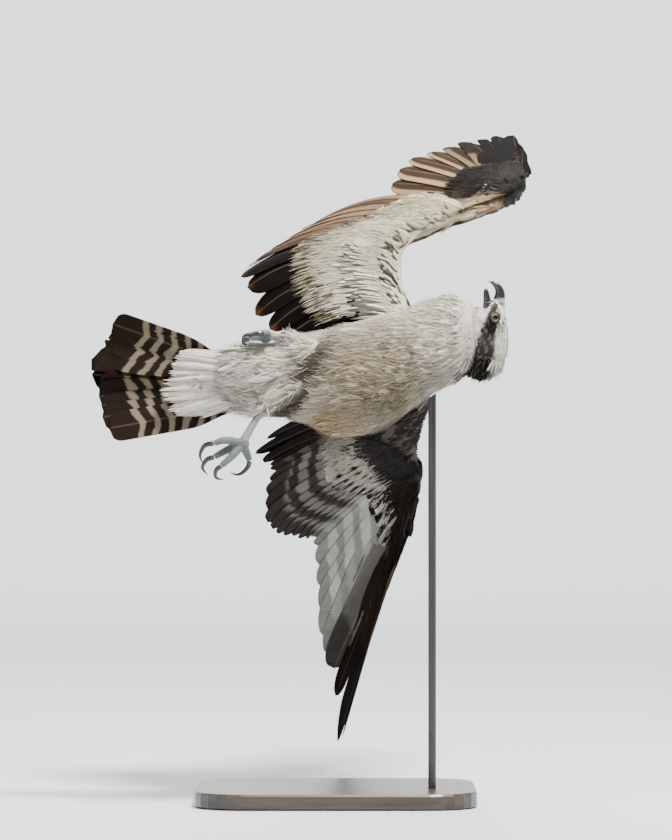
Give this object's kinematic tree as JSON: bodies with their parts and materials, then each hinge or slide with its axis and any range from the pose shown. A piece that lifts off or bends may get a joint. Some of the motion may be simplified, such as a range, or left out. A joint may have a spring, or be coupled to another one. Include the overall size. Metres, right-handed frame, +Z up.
{
  "type": "osprey model",
  "caption": "Life-size osprey in banked flight with raised wings, fanned barred tail and turned head, held over a flat display base by a rod.",
  "frame": {"origin": "middle of the underside of the display base, on the floor", "axes": "+Z up, +X the way the bird's head end points, +Y the way its back faces, as it flies banked on its side"},
  "size_m": [0.5703, 0.7477, 0.8716],
  "materials": {
    "belly_plumage": "soft white and buff body feathers, mottled brown on the breast",
    "neck_plumage": "loose white and cream feathers with brown streaks",
    "head_plumage": "white feathers with a black stripe through the eye",
    "wing_feathers": "barred brown flight feathers with white and buff linings",
    "tail_feathers": "pale feathers with dark brown bars and tips",
    "bill": "glossy black horn with a grey cere",
    "eye": "glossy yellow iris round a black pupil",
    "leg_scales": "rough pale grey-green scales",
    "claw": "glossy black horn",
    "stand_wood": "satin black lacquered board",
    "stand_metal": "satin black rod"
  },
  "bodies": {
    "root": {"bill_lower": "bill", "bill_upper": "bill", "claw_left_1": "claw", "claw_left_2": "claw", "claw_left_3": "claw", "claw_left_4": "claw", "claw_right_1": "claw", "claw_right_2": "claw", "claw_right_3": "claw", "claw_right_4": "claw", "eye_left": "eye", "eye_right": "eye", "head": "head_plumage", "leg_left_foot": "leg_scales", "leg_left_tarsus": "leg_scales", "leg_left_thigh": "belly_plumage", "leg_right_foot": "leg_scales", "leg_right_tarsus": "leg_scales", "leg_right_thigh": "belly_plumage", "neck": "neck_plumage", "stand_base": "stand_wood", "stand_rod": "stand_metal", "tail": "tail_feathers", "torso": "belly_plumage", "wing_left_arm": "wing_feathers", "wing_left_hand": "wing_feathers", "wing_right_arm": "wing_feathers", "wing_right_hand": "wing_feathers"}
  },
  "joints": []
}
